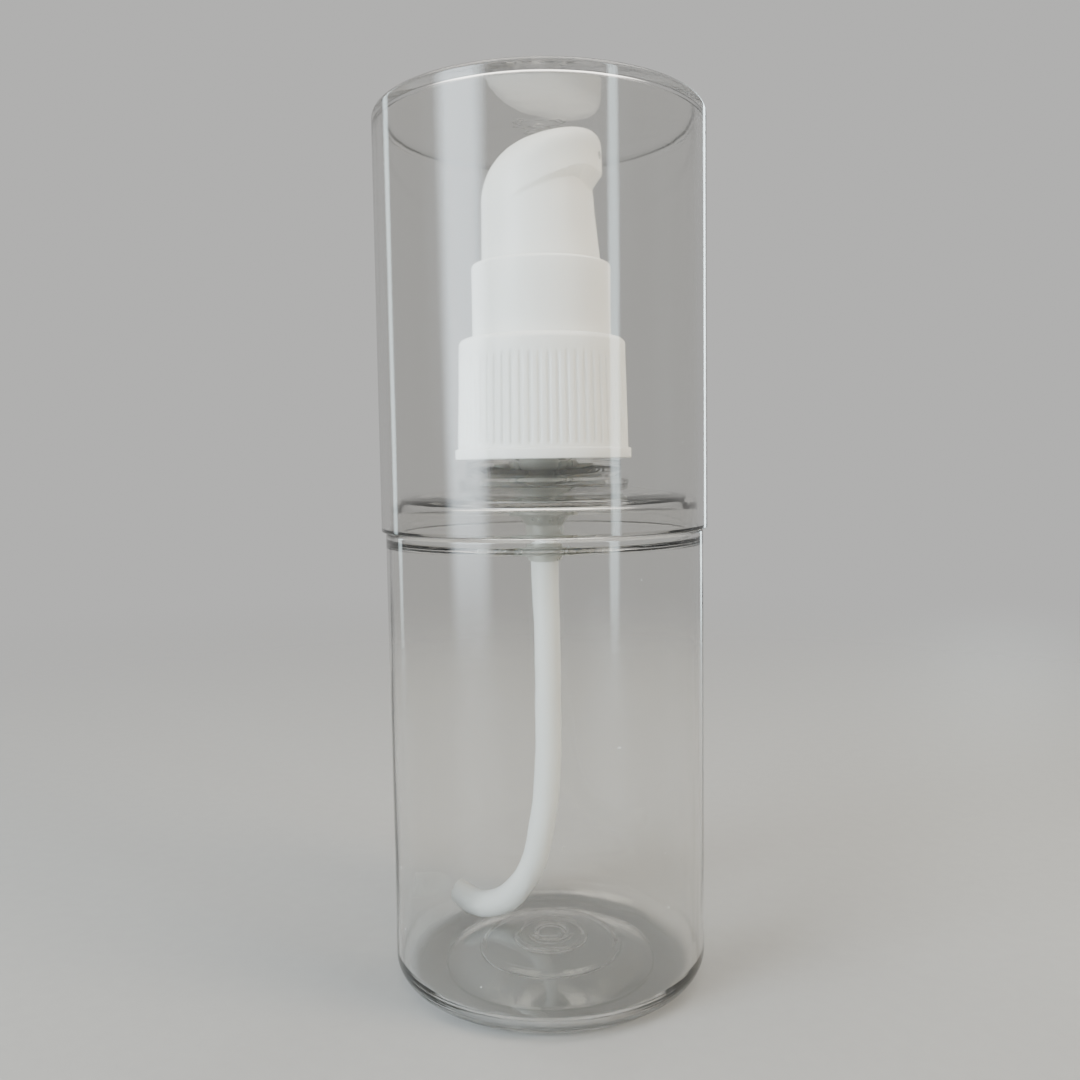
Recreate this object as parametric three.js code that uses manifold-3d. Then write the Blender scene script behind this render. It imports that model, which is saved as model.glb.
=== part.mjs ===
// Clear 100 ml travel bottle with a white treatment pump and a clear overcap.
// Units are millimetres, +Z is up, the origin is the centre of the base on the
// surface that the bottle stands on, and the spout points along +X.

import * as THREE from 'three';
import { mergeVertices } from 'three/addons/utils/BufferGeometryUtils.js';
import Module from 'manifold-3d';

const wasm = await Module();
wasm.setup();

// ---------------------------------------------------------------- dimensions

const TURN = 2 * Math.PI;
const SEGMENTS = 32;
const SMALL_SEGMENTS = 16;
const FIT_GAP = 0.05; // between two pieces that rest on each other

// bottle
const BODY_RADIUS = 22.9;
const WALL = 0.8;
const FOOT_INNER_RADIUS = 15.6;
const FOOT_OUTER_RADIUS = 16.8;
const PUSH_UP = 3.5;
const BASE_THICKNESS = 1.1;
const LEDGE_Z = 64.85;
const LEDGE_CORNER = 0.85;
const CAP_SEAT_RADIUS = 22.05;
const CAP_SEAT_TOP = 69.5;
const CAP_SEAT_CORNER = 1.5;
const SHOULDER_MID_RADIUS = 15.35;
const SHOULDER_MID_Z = 70.52;
const SHOULDER_WALL = 1.1;
const SUPPORT_RING_RADIUS = 12.35;
const SUPPORT_RING_TOP = 72.3;
const SUPPORT_RING_THICKNESS = 1.1;
const RING_CHAMFER = 0.35; // edges of the support ring and of the bead above it
const NECK_BEAD_RADIUS = 11.2;
const NECK_BEAD_TOP = 74.8;
const NECK_ROOT_RADIUS = 8.8;
const NECK_BORE_RADIUS = 7.5;
const MOUTH_Z = 88.4;

// screw thread of the 20/410 finish
const THREAD_LEAD = 3.175;
const THREAD_TURNS = 1.5;
const THREAD_CREST_RADIUS = 9.95;
const THREAD_TOP_Z = 86.5;
const THREAD_BOTTOM_Z = THREAD_TOP_Z - THREAD_TURNS * THREAD_LEAD;
const THREAD_FADE = 0.12; // share of the ridge's length at each end
const THREAD_STEPS = 36;
const THREAD_ROOT_WIDTH = 1.4;
const THREAD_CREST_WIDTH = 0.6;
const THREAD_OVERLAP = 0.4; // how far a ridge reaches into the wall that carries it

// closure with its collar
const CLOSURE_BOTTOM = 75.08;
const FLANGE_TOP = 76.54;
const FLANGE_RADIUS = 12.75;
const SKIRT_BOTTOM_RADIUS = 12.3;
const SKIRT_TOP_RADIUS = 11.93;
const DECK_TOP = 92.05;
const DECK_THICKNESS = 1.5;
const DECK_CORNER = 1.4;
const DECK_HOLE_RADIUS = 6.2;
const CLOSURE_ROOT_RADIUS = 10.4;
const CLOSURE_CREST_RADIUS = 9.1;
const CLOSURE_RIDGE_WIDTH = 1.2;
const COLLAR_RADIUS = 9.95;
const COLLAR_INNER_RADIUS = 8.95;
const COLLAR_TOP = 102.5;
const COLLAR_CORNER = 0.5;

// actuator
const HEAD_RADIUS = 8.5;
const HEAD_TAPER = 0.012; // loss of radius per millimetre of height
const HEAD_BOTTOM = 97.2;
const HEAD_WALL = 1.0;
const HEAD_SHAPED_FROM = 103.0;
const HEAD_SEGMENTS = 40;
const HEAD_CAVITY_TOP = 110.5;
const CROWN_TOP = 120.6;
const CROWN_CENTRE_X = 5.8;
const CROWN_BEND_X = 0.023;
const CROWN_BEND_Y = 0.03;
const CROWN_ROUND_BACK = 5.0;
const CROWN_ROUND_FRONT = 2.2;
const BEAK_REACH = 0.62;
const LIP_MID_Z = 111.4;
const LIP_RISE = 3.8;
const LIP_DEPTH_SIDE = 0.9;
const LIP_DEPTH_FRONT = 2.1; // added at the very front, below the beak
const BEAK_NARROWNESS = 12;
const RECESS = 0.95;
const SPOUT_Z = 117.0;
const SPOUT_BORE_RADIUS = 0.6;
const SOCKET_BOTTOM = 100.2;
const SOCKET_TOP = 106.0;
const SOCKET_RADIUS = 2.08;
const SOCKET_BOSS_RADIUS = 3.4;

// pump engine
const GASKET_HEIGHT = 1.0;
const GASKET_RADIUS = 8.6;
const GASKET_HOLE_RADIUS = 6.8;
const HOUSING_FLANGE_THICKNESS = 0.9;
const HOUSING_UPPER_RADIUS = 6.6;
const HOUSING_UPPER_BORE = 5.6;
const HOUSING_STEP_Z = 81.5;
const CYLINDER_RADIUS = 5.0;
const CYLINDER_BORE = 4.0;
const CYLINDER_FLOOR = 68.6;
const CHAMBER_RADIUS = 1.8;
const SEAT_TOP = 66.4;
const SEAT_BOTTOM = 65.4;
const INLET_RADIUS = 0.9;
const TAIL_TOP = 65.6;
const TAIL_BOTTOM = 60.4;
const TAIL_RADIUS = 2.7;
const TAIL_END_RADIUS = 2.5;
const TAIL_BORE = 2.12;
const TAIL_BORE_TOP = 64.6;
const BALL_RADIUS = 1.5;
const BALL_Z = 66.72;
const BALL_STOP_COUNT = 3;
const BALL_STOP_LENGTH = 1.25;
const BALL_STOP_WIDTH = 0.5;
const BALL_STOP_HEIGHT = 0.75;
const LOCK_FLANGE_RADIUS = 6.0;
const LOCK_FLANGE_THICKNESS = 0.9;
const LOCK_WALL = 1.1;
const LOCK_PLUG_RADIUS = 5.5;
const LOCK_PLUG_BOTTOM = 84.0;
const LOCK_TOWER_RADIUS = 4.0;
const LOCK_TOWER_TOP = 95.5;
const LOCK_BORE = 2.3;

// stem, piston and spring
const STEM_RADIUS = 2.0;
const STEM_BORE = 1.2;
const STEM_BOTTOM = 80.5;
const PISTON_SEAT_Z = 77.0;
const PISTON_SEAT_RADIUS = 2.9;
const PISTON_SEAT_THICKNESS = 0.9;
const PILOT_RADIUS = 2.1;
const PILOT_LENGTH = 1.5;
const SEAT_NECK_RADIUS = 1.6;
const SEAT_SPIGOT_RADIUS = 1.12;
const SEAT_SPIGOT_LENGTH = 3.0;
const SEAT_BORE = 0.65;
const SEAT_PORT_RADIUS = 0.4;
const PISTON_RADIUS = 3.92;
const PISTON_LIP = 0.4;
const PISTON_WALL = 0.7;
const PISTON_BOTTOM = 77.2;
const PISTON_HEIGHT = 4.0;
const PISTON_SLEEVE_HEIGHT = 1.8;
const SPRING_RADIUS = 2.6;
const SPRING_WIRE = 0.25;
const SPRING_TURNS = 5;

// dip tube
const TUBE_RADIUS = 2.04;
const TUBE_BORE = 1.35;
const TUBE_SIDES = 10;
const TUBE_STEPS = 30;
const TUBE_BEND_AZIMUTH = 160; // degrees from +X, the side that the foot of the tube curls to

// overcap
const CAP_RADIUS = 23.5;
const CAP_INNER_RADIUS = 22.25;
const CAP_BOTTOM = 65.03;
const CAP_TOP = 123.0;
const CAP_PANEL = 1.2;
const CAP_CORNER = 0.8;
const CAP_INNER_CORNER = 0.8;
const CAP_RIM_CHAMFER = 0.35;

// ------------------------------------------------------------------ helpers

const degrees = THREE.MathUtils.degToRad;
const lerp = THREE.MathUtils.lerp;
const smoothstep = THREE.MathUtils.smoothstep;
const point = (x, y) => new THREE.Vector2(x, y);

// Points on a circle in the radius-height plane, from one angle to another.
function arc(centreR, centreZ, radius, fromDeg, toDeg, steps) {
  const points = [];
  for (let i = 0; i <= steps; i += 1) {
    const angle = degrees(lerp(fromDeg, toDeg, i / steps));
    points.push(point(centreR + radius * Math.cos(angle), centreZ + radius * Math.sin(angle)));
  }
  return points;
}

// Points on a parabola that leaves its crown at radius 0 and drops to its rim.
function crown(crownZ, rimR, rimZ, steps) {
  const points = [];
  for (let i = 0; i <= steps; i += 1) {
    const share = i / steps;
    points.push(point(rimR * share, lerp(crownZ, rimZ, share * share)));
  }
  return points;
}

// Solid of revolution about Z. The profile runs anticlockwise, radius to the right, height up.
function lathe(profile, segments = SEGMENTS) {
  return new THREE.LatheGeometry(profile, segments).rotateX(Math.PI / 2);
}

// A closed ring profile repeats its first point at the end.
function ring(profile, segments = SEGMENTS) {
  return lathe([...profile, profile[0]], segments);
}

function rod(radius, bottomZ, topZ, segments = SMALL_SEGMENTS) {
  return lathe([point(0, bottomZ), point(radius, bottomZ), point(radius, topZ), point(0, topZ)], segments);
}

// Moves every vertex of a geometry to where the function puts it.
function reshape(geometry, place) {
  const position = geometry.attributes.position;
  const vertex = new THREE.Vector3();
  for (let i = 0; i < position.count; i += 1) {
    vertex.fromBufferAttribute(position, i);
    place(vertex);
    position.setXYZ(i, vertex.x, vertex.y, vertex.z);
  }
  return geometry;
}

function toSolid(geometry) {
  const bare = geometry.clone();
  bare.deleteAttribute('normal');
  bare.deleteAttribute('uv');
  const merged = mergeVertices(bare, 1e-4);
  const index = merged.index.array;
  const faces = [];
  for (let i = 0; i < index.length; i += 3) {
    const [a, b, c] = [index[i], index[i + 1], index[i + 2]];
    if (a !== b && b !== c && c !== a) faces.push(a, b, c);
  }
  return new wasm.Manifold(new wasm.Mesh({
    numProp: 3,
    vertProperties: Float32Array.from(merged.attributes.position.array),
    triVerts: Uint32Array.from(faces),
  }));
}

function toGeometry(solid) {
  const { vertProperties, triVerts, numProp } = solid.getMesh();
  const positions = new Float32Array(vertProperties.length / numProp * 3);
  for (let i = 0; i < positions.length / 3; i += 1) {
    positions.set(vertProperties.subarray(i * numProp, i * numProp + 3), i * 3);
  }
  const geometry = new THREE.BufferGeometry();
  geometry.setAttribute('position', new THREE.BufferAttribute(positions, 3));
  geometry.setIndex(new THREE.BufferAttribute(Uint32Array.from(triVerts), 1));
  return geometry;
}

// Right-hand thread ridge: a box bent round the axis, wide at its root and faded out at both ends.
function threadRidge(rootRadius, crestRadius, bottomZ, rootWidth) {
  const outward = crestRadius > rootRadius;
  return reshape(new THREE.BoxGeometry(1, 1, 1, THREAD_STEPS, 1, 1), (v) => {
    const along = outward ? 0.5 - v.x : 0.5 + v.x;
    const height = v.y + 0.5;
    const fade = Math.min(1, 0.3 + 0.7 * Math.min(along, 1 - along) / THREAD_FADE);
    const angle = along * THREAD_TURNS * TURN;
    const radius = lerp(rootRadius, crestRadius, height * fade);
    const width = lerp(rootWidth, THREAD_CREST_WIDTH, height);
    const z = bottomZ + along * THREAD_TURNS * THREAD_LEAD + v.z * width;
    v.set(radius * Math.cos(angle), radius * Math.sin(angle), z);
  });
}

// ---------------------------------------------------------------- materials

function plastic(color, roughness, opacity = 1) {
  return new THREE.MeshStandardMaterial({
    color,
    roughness,
    metalness: 0,
    opacity,
    transparent: opacity < 1,
  });
}

const clearPet = () => plastic(0xe4e3dd, 0.08, 0.3);
const clearCap = () => plastic(0xe6e4df, 0.12, 0.3);
const whitePolypropylene = () => plastic(0xecebe4, 0.42);
const naturalPolypropylene = () => plastic(0xe3e4e2, 0.35, 0.7);
const softTube = () => plastic(0xe9ebea, 0.38, 0.8);
const gasketFoam = () => plastic(0xf2f2ee, 0.9);
const steelWire = () => new THREE.MeshStandardMaterial({ color: 0xb9bcc0, roughness: 0.3, metalness: 1 });

// ------------------------------------------------------------------- bottle

function bottle() {
  const heel = BODY_RADIUS - FOOT_OUTER_RADIUS;
  const innerHeel = heel - WALL;
  const ringBottom = SUPPORT_RING_TOP - SUPPORT_RING_THICKNESS;
  const seatInner = CAP_SEAT_RADIUS - WALL;
  const innerCorner = CAP_SEAT_CORNER - 0.7;
  const outside = [
    ...crown(PUSH_UP, FOOT_INNER_RADIUS, 0, 3),
    ...arc(FOOT_OUTER_RADIUS, heel, heel, -90, 0, 4),
    ...arc(BODY_RADIUS - LEDGE_CORNER, LEDGE_Z - LEDGE_CORNER, LEDGE_CORNER, 0, 78, 2),
    point(CAP_SEAT_RADIUS, LEDGE_Z),
    ...arc(CAP_SEAT_RADIUS - CAP_SEAT_CORNER, CAP_SEAT_TOP - CAP_SEAT_CORNER, CAP_SEAT_CORNER, 0, 84, 3),
    point(SHOULDER_MID_RADIUS, SHOULDER_MID_Z),
    point(SUPPORT_RING_RADIUS - RING_CHAMFER, ringBottom),
    point(SUPPORT_RING_RADIUS, ringBottom + RING_CHAMFER),
    point(SUPPORT_RING_RADIUS, SUPPORT_RING_TOP - RING_CHAMFER / 2),
    point(NECK_BEAD_RADIUS, SUPPORT_RING_TOP),
    point(NECK_BEAD_RADIUS, NECK_BEAD_TOP - RING_CHAMFER),
    point(NECK_BEAD_RADIUS - RING_CHAMFER, NECK_BEAD_TOP),
    point(NECK_ROOT_RADIUS, NECK_BEAD_TOP),
    point(NECK_ROOT_RADIUS, MOUTH_Z),
  ];
  const inside = [
    point(NECK_BORE_RADIUS, MOUTH_Z),
    point(NECK_BORE_RADIUS, NECK_BEAD_TOP - 1),
    point(SUPPORT_RING_RADIUS - 2.25, ringBottom - 0.2),
    point(SHOULDER_MID_RADIUS, SHOULDER_MID_Z - SHOULDER_WALL),
    ...arc(seatInner - innerCorner, CAP_SEAT_TOP - WALL - innerCorner, innerCorner, 80, 0, 2),
    point(seatInner, LEDGE_Z - LEDGE_CORNER),
    point(BODY_RADIUS - WALL, LEDGE_Z - LEDGE_CORNER - 1),
    ...arc(FOOT_OUTER_RADIUS, heel, innerHeel, 0, -84, 3),
    ...crown(PUSH_UP + BASE_THICKNESS, FOOT_INNER_RADIUS, BASE_THICKNESS, 3).reverse(),
  ];
  const ridgeRoot = NECK_ROOT_RADIUS - THREAD_OVERLAP;
  const ridge = threadRidge(ridgeRoot, THREAD_CREST_RADIUS, THREAD_BOTTOM_Z, THREAD_ROOT_WIDTH);
  return toGeometry(toSolid(lathe([...outside, ...inside])).add(toSolid(ridge)));
}

// ------------------------------------------------------- closure and collar

function closure() {
  const skirtTop = DECK_TOP - DECK_CORNER;
  const shell = ring([
    point(CLOSURE_ROOT_RADIUS + 0.4, CLOSURE_BOTTOM),
    point(FLANGE_RADIUS, CLOSURE_BOTTOM),
    point(FLANGE_RADIUS, FLANGE_TOP),
    point(SKIRT_BOTTOM_RADIUS, FLANGE_TOP),
    ...arc(SKIRT_TOP_RADIUS - DECK_CORNER, skirtTop, DECK_CORNER, 0, 90, 3),
    point(COLLAR_RADIUS, DECK_TOP),
    ...arc(COLLAR_RADIUS - COLLAR_CORNER, COLLAR_TOP - COLLAR_CORNER, COLLAR_CORNER, 0, 90, 2),
    point(COLLAR_INNER_RADIUS, COLLAR_TOP),
    point(COLLAR_INNER_RADIUS, DECK_TOP),
    point(DECK_HOLE_RADIUS, DECK_TOP),
    point(DECK_HOLE_RADIUS, DECK_TOP - DECK_THICKNESS),
    point(CLOSURE_ROOT_RADIUS, DECK_TOP - DECK_THICKNESS),
    point(CLOSURE_ROOT_RADIUS, CLOSURE_BOTTOM + 0.4),
  ]);
  const bottomZ = THREAD_BOTTOM_Z - THREAD_LEAD / 2;
  const ridgeRoot = CLOSURE_ROOT_RADIUS + THREAD_OVERLAP;
  const ridge = threadRidge(ridgeRoot, CLOSURE_CREST_RADIUS, bottomZ, CLOSURE_RIDGE_WIDTH);
  return toGeometry(toSolid(shell).add(toSolid(ridge)));
}

// ----------------------------------------------------------------- actuator

// Smooth stand-in for Math.max, so that two surfaces meet in a rounded edge.
function softMax(a, b, rounding) {
  const blend = Math.max(rounding - Math.abs(a - b), 0) / rounding;
  return Math.max(a, b) + blend * blend * rounding / 4;
}

// Radius of the head's side wall: a plain barrel at the back, and at the front a wall that
// leans in below a sloping lip and a beak that juts out above it.
function headWall(cosine, z) {
  const front = Math.max(cosine, 0);
  const lipZ = LIP_MID_Z + LIP_RISE * cosine;
  const lipDepth = LIP_DEPTH_SIDE + LIP_DEPTH_FRONT * front ** BEAK_NARROWNESS;
  const aboveLip = smoothstep(z, lipZ - lipDepth, lipZ);
  const lean = THREE.MathUtils.clamp((z - HEAD_SHAPED_FROM) / (lipZ - lipDepth - HEAD_SHAPED_FROM), 0, 1);
  const recess = RECESS * ((1 + cosine) / 2) ** 3 * lean * (1 - aboveLip);
  const beak = BEAK_REACH * front ** 6 * aboveLip;
  return HEAD_RADIUS - HEAD_TAPER * (z - HEAD_SHAPED_FROM) - recess + beak;
}

// Negative inside the head, positive outside it.
function headField(x, y, z) {
  const radius = Math.hypot(x, y);
  const side = radius - headWall(radius > 0 ? x / radius : 0, z);
  const top = z - (CROWN_TOP - CROWN_BEND_X * (x - CROWN_CENTRE_X) ** 2 - CROWN_BEND_Y * y * y);
  const front = smoothstep(x, -HEAD_RADIUS, HEAD_RADIUS);
  return softMax(side, top, lerp(CROWN_ROUND_BACK, CROWN_ROUND_FRONT, front));
}

// Pushes a vertex along its line from the head's heart until it lies on the surface.
function pushToHead(vertex) {
  if (vertex.z <= HEAD_SHAPED_FROM) return;
  const heart = new THREE.Vector3(0, 0, HEAD_SHAPED_FROM);
  const direction = vertex.clone().sub(heart).normalize();
  let [inside, outside] = [0, 2 * (CROWN_TOP - HEAD_SHAPED_FROM)];
  for (let i = 0; i < 40; i += 1) {
    const middle = (inside + outside) / 2;
    vertex.copy(heart).addScaledVector(direction, middle);
    if (headField(vertex.x, vertex.y, vertex.z) < 0) inside = middle;
    else outside = middle;
  }
}

function actuator() {
  const profile = [
    point(0, HEAD_BOTTOM),
    point(HEAD_RADIUS, HEAD_BOTTOM),
    point(HEAD_RADIUS, HEAD_SHAPED_FROM),
  ];
  const wallRows = 12;
  const roofRows = 5;
  for (let i = 1; i <= wallRows; i += 1) {
    const rise = (i / wallRows) ** 0.75;
    profile.push(point(HEAD_RADIUS, lerp(HEAD_SHAPED_FROM, CROWN_TOP - 1, rise)));
  }
  for (let i = 1; i <= roofRows; i += 1) {
    profile.push(point(HEAD_RADIUS * (1 - i / roofRows), CROWN_TOP));
  }
  const head = reshape(lathe(profile, HEAD_SEGMENTS), pushToHead);

  const cavity = ring([
    point(SOCKET_BOSS_RADIUS, SOCKET_BOTTOM),
    point(SOCKET_BOSS_RADIUS, HEAD_BOTTOM - 1),
    point(HEAD_RADIUS - HEAD_WALL, HEAD_BOTTOM - 1),
    point(HEAD_RADIUS - HEAD_WALL - RECESS / 2, HEAD_CAVITY_TOP),
    point(SOCKET_BOSS_RADIUS, HEAD_CAVITY_TOP),
  ], SMALL_SEGMENTS);
  const underBoss = rod(SOCKET_BOSS_RADIUS + 0.1, HEAD_BOTTOM - 1, SOCKET_BOTTOM);
  const socket = rod(SOCKET_RADIUS, SOCKET_BOTTOM - 1, SOCKET_TOP);
  const riser = rod(SPOUT_BORE_RADIUS, SOCKET_TOP - 1, SPOUT_Z + SPOUT_BORE_RADIUS, 12);
  const spout = rod(SPOUT_BORE_RADIUS, 0, 2 * HEAD_RADIUS, 12);
  spout.rotateY(Math.PI / 2).translate(0, 0, SPOUT_Z);

  return toGeometry([cavity, underBoss, socket, riser, spout].reduce(
    (body, cutter) => body.subtract(toSolid(cutter)),
    toSolid(head),
  ));
}

// -------------------------------------------------------------- pump engine

const GASKET_BOTTOM = MOUTH_Z + FIT_GAP;
const HOUSING_FLANGE_BOTTOM = GASKET_BOTTOM + GASKET_HEIGHT + FIT_GAP;
const HOUSING_TOP = HOUSING_FLANGE_BOTTOM + HOUSING_FLANGE_THICKNESS;
const LOCK_FLANGE_BOTTOM = HOUSING_TOP + FIT_GAP;

function neckGasket() {
  const top = GASKET_BOTTOM + GASKET_HEIGHT;
  return ring([
    point(GASKET_HOLE_RADIUS, GASKET_BOTTOM),
    point(GASKET_RADIUS, GASKET_BOTTOM),
    point(GASKET_RADIUS, top),
    point(GASKET_HOLE_RADIUS, top),
  ]);
}

// Cylinder with a wide top, a cage for the inlet ball and a socket for the dip tube.
function pumpHousing() {
  const shell = ring([
    point(TAIL_BORE, TAIL_BOTTOM),
    point(TAIL_END_RADIUS, TAIL_BOTTOM),
    point(TAIL_RADIUS, TAIL_BORE_TOP),
    point(TAIL_RADIUS, TAIL_TOP),
    point(CYLINDER_RADIUS, CYLINDER_FLOOR),
    point(CYLINDER_RADIUS, HOUSING_STEP_Z - 2),
    point(HOUSING_UPPER_RADIUS, HOUSING_STEP_Z),
    point(HOUSING_UPPER_RADIUS, HOUSING_FLANGE_BOTTOM),
    point(GASKET_RADIUS, HOUSING_FLANGE_BOTTOM),
    point(GASKET_RADIUS, HOUSING_TOP),
    point(HOUSING_UPPER_BORE, HOUSING_TOP),
    point(HOUSING_UPPER_BORE, HOUSING_STEP_Z + 1),
    point(CYLINDER_BORE, HOUSING_STEP_Z - 0.5),
    point(CYLINDER_BORE, CYLINDER_FLOOR + 0.6),
    point(CYLINDER_BORE - 0.8, CYLINDER_FLOOR),
    point(CHAMBER_RADIUS, CYLINDER_FLOOR),
    point(CHAMBER_RADIUS, SEAT_TOP),
    point(INLET_RADIUS, SEAT_BOTTOM),
    point(INLET_RADIUS, TAIL_BORE_TOP),
    point(TAIL_BORE, TAIL_BORE_TOP),
  ], SMALL_SEGMENTS);
  let housing = toSolid(shell);
  for (let i = 0; i < BALL_STOP_COUNT; i += 1) {
    const stop = new THREE.BoxGeometry(BALL_STOP_LENGTH, BALL_STOP_WIDTH, BALL_STOP_HEIGHT);
    stop.translate(INLET_RADIUS + BALL_STOP_LENGTH / 2, 0, CYLINDER_FLOOR + 0.3);
    stop.rotateZ(i * TURN / BALL_STOP_COUNT);
    housing = housing.add(toSolid(stop));
  }
  return toGeometry(housing);
}

// Snaps into the top of the housing, guides the stem and keeps it from pulling out.
function lockRing() {
  const plugBore = LOCK_PLUG_RADIUS - LOCK_WALL;
  const flangeTop = LOCK_FLANGE_BOTTOM + LOCK_FLANGE_THICKNESS;
  return ring([
    point(plugBore, LOCK_PLUG_BOTTOM),
    point(LOCK_PLUG_RADIUS - 0.2, LOCK_PLUG_BOTTOM),
    point(LOCK_PLUG_RADIUS, LOCK_PLUG_BOTTOM + 0.6),
    point(LOCK_PLUG_RADIUS, LOCK_FLANGE_BOTTOM),
    point(LOCK_FLANGE_RADIUS, LOCK_FLANGE_BOTTOM),
    point(LOCK_FLANGE_RADIUS, flangeTop),
    point(LOCK_TOWER_RADIUS, flangeTop),
    point(LOCK_TOWER_RADIUS, LOCK_TOWER_TOP),
    point(LOCK_BORE, LOCK_TOWER_TOP),
    point(LOCK_BORE, flangeTop + 0.3),
    point(plugBore, LOCK_FLANGE_BOTTOM - LOCK_FLANGE_THICKNESS),
  ], SMALL_SEGMENTS);
}

function stem() {
  return ring([
    point(STEM_BORE, STEM_BOTTOM),
    point(STEM_RADIUS, STEM_BOTTOM),
    point(STEM_RADIUS, SOCKET_TOP - FIT_GAP),
    point(STEM_BORE, SOCKET_TOP - FIT_GAP),
  ], SMALL_SEGMENTS);
}

// Plugs into the foot of the stem: a spigot, a waist that carries the piston, and a conical
// flange that the spring pushes up against the piston. A cross bore feeds the stem.
function pistonSeat() {
  const flangeTop = PISTON_SEAT_Z + PISTON_SEAT_THICKNESS;
  const pilotBottom = PISTON_SEAT_Z - PILOT_LENGTH;
  const spigotTop = STEM_BOTTOM + SEAT_SPIGOT_LENGTH;
  const body = lathe([
    point(0, pilotBottom),
    point(PILOT_RADIUS - 0.3, pilotBottom),
    point(PILOT_RADIUS, pilotBottom + 0.3),
    point(PILOT_RADIUS, PISTON_SEAT_Z),
    point(PISTON_SEAT_RADIUS, PISTON_SEAT_Z),
    point(PISTON_SEAT_RADIUS, flangeTop - 0.3),
    point(SEAT_NECK_RADIUS, flangeTop),
    point(SEAT_NECK_RADIUS, STEM_BOTTOM - FIT_GAP),
    point(SEAT_SPIGOT_RADIUS, STEM_BOTTOM - FIT_GAP),
    point(SEAT_SPIGOT_RADIUS, spigotTop),
    point(0, spigotTop),
  ], SMALL_SEGMENTS);
  const portZ = flangeTop + 0.7;
  const bore = rod(SEAT_BORE, portZ, spigotTop + 1, 12);
  const port = rod(SEAT_PORT_RADIUS, -PISTON_SEAT_RADIUS, PISTON_SEAT_RADIUS, 8);
  port.rotateX(Math.PI / 2).translate(0, 0, portZ + SEAT_PORT_RADIUS / 2);
  return toGeometry(toSolid(body).subtract(toSolid(bore)).subtract(toSolid(port)));
}

// Sleeve on the stem's waist, joined by a web to a skirt that wipes the cylinder.
function piston() {
  const top = PISTON_BOTTOM + PISTON_HEIGHT;
  const webBottom = PISTON_BOTTOM + 1.3;
  const webTop = webBottom + 0.9;
  const sleeveBottom = PISTON_BOTTOM + 0.75;
  const sleeveTop = sleeveBottom + PISTON_SLEEVE_HEIGHT;
  const sleeveBore = SEAT_NECK_RADIUS + 0.12;
  return ring([
    point(sleeveBore, sleeveBottom),
    point(SEAT_NECK_RADIUS + 0.6, sleeveBottom + 0.1),
    point(SEAT_NECK_RADIUS + 0.9, webBottom),
    point(PISTON_RADIUS - PISTON_WALL, webBottom),
    point(PISTON_RADIUS - PISTON_LIP, PISTON_BOTTOM),
    point(PISTON_RADIUS, PISTON_BOTTOM),
    point(PISTON_RADIUS - 0.1, PISTON_BOTTOM + PISTON_HEIGHT / 2),
    point(PISTON_RADIUS, top),
    point(PISTON_RADIUS - PISTON_LIP, top),
    point(PISTON_RADIUS - PISTON_WALL, webTop),
    point(SEAT_NECK_RADIUS + 0.7, webTop),
    point(SEAT_NECK_RADIUS + 0.5, sleeveTop),
    point(sleeveBore, sleeveTop),
  ], SMALL_SEGMENTS);
}

// A closed wire bent into a helix between the cylinder's floor and the piston seat.
function returnSpring() {
  const bottom = CYLINDER_FLOOR + SPRING_WIRE + FIT_GAP;
  const top = PISTON_SEAT_Z - SPRING_WIRE - FIT_GAP;
  const stepsPerTurn = 12;
  const wire = new THREE.CylinderGeometry(SPRING_WIRE, SPRING_WIRE, 1, 5, SPRING_TURNS * stepsPerTurn);
  return reshape(wire, (v) => {
    const along = v.y + 0.5;
    const angle = along * SPRING_TURNS * TURN;
    const radius = SPRING_RADIUS + v.x;
    const z = lerp(bottom, top, along) + v.z;
    v.set(radius * Math.cos(angle), radius * Math.sin(angle), z);
  });
}

function inletBall() {
  return new THREE.SphereGeometry(BALL_RADIUS, 16, 8).rotateX(Math.PI / 2).translate(0, 0, BALL_Z);
}

// Straight down from the housing, then curled up at its foot along one side of the base.
function dipTube() {
  const route = [
    [0, TAIL_BORE_TOP - 0.1], [0, TAIL_BOTTOM], [-0.25, 50], [-0.25, 40], [0, 30], [1.1, 21.7],
    [3.65, 13.6], [8.5, 7.5], [12, 5.4], [15.8, 4.7], [20, 5.3],
  ];
  const side = degrees(TUBE_BEND_AZIMUTH);
  const path = new THREE.CatmullRomCurve3(
    route.map(([out, z]) => new THREE.Vector3(out * Math.cos(side), out * Math.sin(side), z)),
    false,
    'centripetal',
  );
  const section = new THREE.Shape(circlePoints(TUBE_RADIUS));
  section.holes.push(new THREE.Path(circlePoints(TUBE_BORE)));
  return new THREE.ExtrudeGeometry(section, { steps: TUBE_STEPS, bevelEnabled: false, extrudePath: path });
}

function circlePoints(radius) {
  const points = [];
  for (let i = 0; i < TUBE_SIDES; i += 1) {
    const angle = i * TURN / TUBE_SIDES;
    points.push(point(radius * Math.cos(angle), radius * Math.sin(angle)));
  }
  return points;
}

// ------------------------------------------------------------------ overcap

function overcap() {
  const innerTop = CAP_TOP - CAP_PANEL;
  return lathe([
    point(0, innerTop),
    ...arc(CAP_INNER_RADIUS - CAP_INNER_CORNER, innerTop - CAP_INNER_CORNER, CAP_INNER_CORNER, 90, 0, 3),
    point(CAP_INNER_RADIUS, CAP_BOTTOM + CAP_RIM_CHAMFER),
    point(CAP_INNER_RADIUS + CAP_RIM_CHAMFER, CAP_BOTTOM),
    point(CAP_RADIUS, CAP_BOTTOM),
    ...arc(CAP_RADIUS - CAP_CORNER, CAP_TOP - CAP_CORNER, CAP_CORNER, 0, 90, 4),
    point(0, CAP_TOP),
  ]);
}

// ----------------------------------------------------------------- assembly

const bottlePump = new THREE.Group();

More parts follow.
